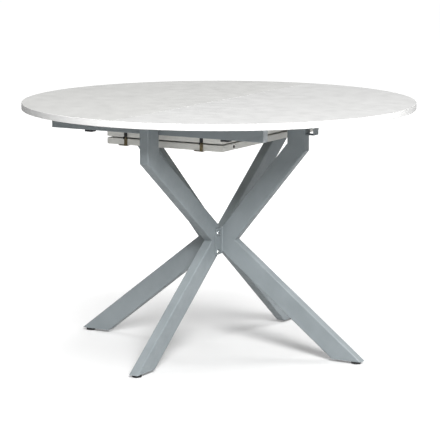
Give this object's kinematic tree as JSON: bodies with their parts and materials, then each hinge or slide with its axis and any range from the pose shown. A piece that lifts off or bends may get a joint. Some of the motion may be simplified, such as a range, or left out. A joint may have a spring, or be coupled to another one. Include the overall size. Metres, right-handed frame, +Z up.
{
  "type": "extendable dining table",
  "caption": "Round dining table on a crossed tubular steel base; two half tops slide apart and a folded leaf is stored under the seam.",
  "frame": {"origin": "on the floor under the centre of the round top", "axes": "+Z up; +X along the way the half tops slide apart; +Y along the seam, away from the leaf's fold hinges"},
  "size_m": [1.2, 1.2, 0.765],
  "materials": {
    "top_lacquer": "white satin lacquer on board",
    "leaf_lacquer": "white satin lacquer on board",
    "leg_paint": "fine grey powder coat",
    "zinc_steel": "bright zinc plating",
    "black_metal": "black enamel",
    "brass": "brass plating",
    "black_plastic": "moulded black plastic"
  },
  "bodies": {
    "base": {"lower_leg_left": "leg_paint", "upper_arm_left": "leg_paint", "post_left": "leg_paint", "lower_leg_right": "leg_paint", "upper_arm_right": "leg_paint", "post_right": "leg_paint", "lower_leg_front": "leg_paint", "upper_arm_front": "leg_paint", "post_front": "leg_paint", "lower_leg_rear": "leg_paint", "upper_arm_rear": "leg_paint", "post_rear": "leg_paint", "foot_plate_left": "zinc_steel", "foot_plate_right": "zinc_steel", "foot_plate_front": "zinc_steel", "foot_plate_rear": "zinc_steel", "hub_flange_left": "leg_paint", "hub_flange_right": "leg_paint", "hub_bolt_1": "zinc_steel", "hub_bolt_2": "zinc_steel", "hub_bolt_3": "zinc_steel", "hub_bolt_4": "zinc_steel", "side_rail_front": "leg_paint", "side_rail_rear": "leg_paint", "cross_bar_left": "leg_paint", "cross_bar_right": "leg_paint", "slide_channel_front": "zinc_steel", "slide_channel_rear": "zinc_steel", "shaft_bracket_left": "zinc_steel", "shaft_bracket_right": "zinc_steel", "bolt_keeper_left": "leg_paint", "bolt_keeper_right": "leg_paint"},
    "top_right": {"top_half_right": "top_lacquer", "bolt_housing_right": "black_plastic", "runner_front_right": "zinc_steel", "runner_rear_right": "zinc_steel", "seam_pin_1": "zinc_steel", "seam_pin_2": "zinc_steel"},
    "top_left": {"top_half_left": "top_lacquer", "bolt_housing_left": "black_plastic", "runner_front_left": "zinc_steel", "runner_rear_left": "zinc_steel"},
    "lock_bolt_right": {"lock_bolt_right": "zinc_steel"},
    "lock_bolt_left": {"lock_bolt_left": "zinc_steel"},
    "leaf_upper": {"leaf_board_upper": "leaf_lacquer", "pivot_shaft": "zinc_steel", "carrier_arm_left": "zinc_steel", "carrier_arm_right": "zinc_steel", "hinge_upper_left": "black_metal", "hinge_upper_right": "black_metal", "hinge_pin_left": "brass", "hinge_pin_right": "brass"},
    "leaf_lower": {"leaf_board_lower": "leaf_lacquer", "hinge_lower_left": "brass", "hinge_lower_right": "brass"},
    "glide_left": {"glide_left": "black_plastic"},
    "glide_right": {"glide_right": "black_plastic"},
    "glide_front": {"glide_front": "black_plastic"},
    "glide_rear": {"glide_rear": "black_plastic"}
  },
  "joints": [
    {"name": "slide_right", "type": "slide", "parent": "base", "child": "top_right", "axis": [1, 0, 0], "range_m": [0, 0.2]},
    {"name": "slide_left", "type": "slide", "parent": "base", "child": "top_left", "axis": [-1, 0, 0], "range_m": [0, 0.2]},
    {"name": "leaf_pivot", "type": "hinge", "parent": "base", "child": "leaf_upper", "pos_m": [0, -0.16225, 0.722], "axis": [1, 0, 0], "range_deg": [0, 5]},
    {"name": "leaf_fold", "type": "hinge", "parent": "leaf_upper", "child": "leaf_lower", "pos_m": [0, -0.3245, 0.677], "axis": [-1, 0, 0], "range_deg": [0, 4]},
    {"name": "lock_right", "type": "slide", "parent": "top_right", "child": "lock_bolt_right", "axis": [0, 0, -1], "range_m": [0, 0.012]},
    {"name": "lock_left", "type": "slide", "parent": "top_left", "child": "lock_bolt_left", "axis": [0, 0, -1], "range_m": [0, 0.012]},
    {"name": "level_left", "type": "slide", "parent": "base", "child": "glide_left", "axis": [0, 0, -1], "range_m": [0, 0.006]},
    {"name": "level_right", "type": "slide", "parent": "base", "child": "glide_right", "axis": [0, 0, -1], "range_m": [0, 0.006]},
    {"name": "level_front", "type": "slide", "parent": "base", "child": "glide_front", "axis": [0, 0, -1], "range_m": [0, 0.006]},
    {"name": "level_rear", "type": "slide", "parent": "base", "child": "glide_rear", "axis": [0, 0, -1], "range_m": [0, 0.006]}
  ]
}
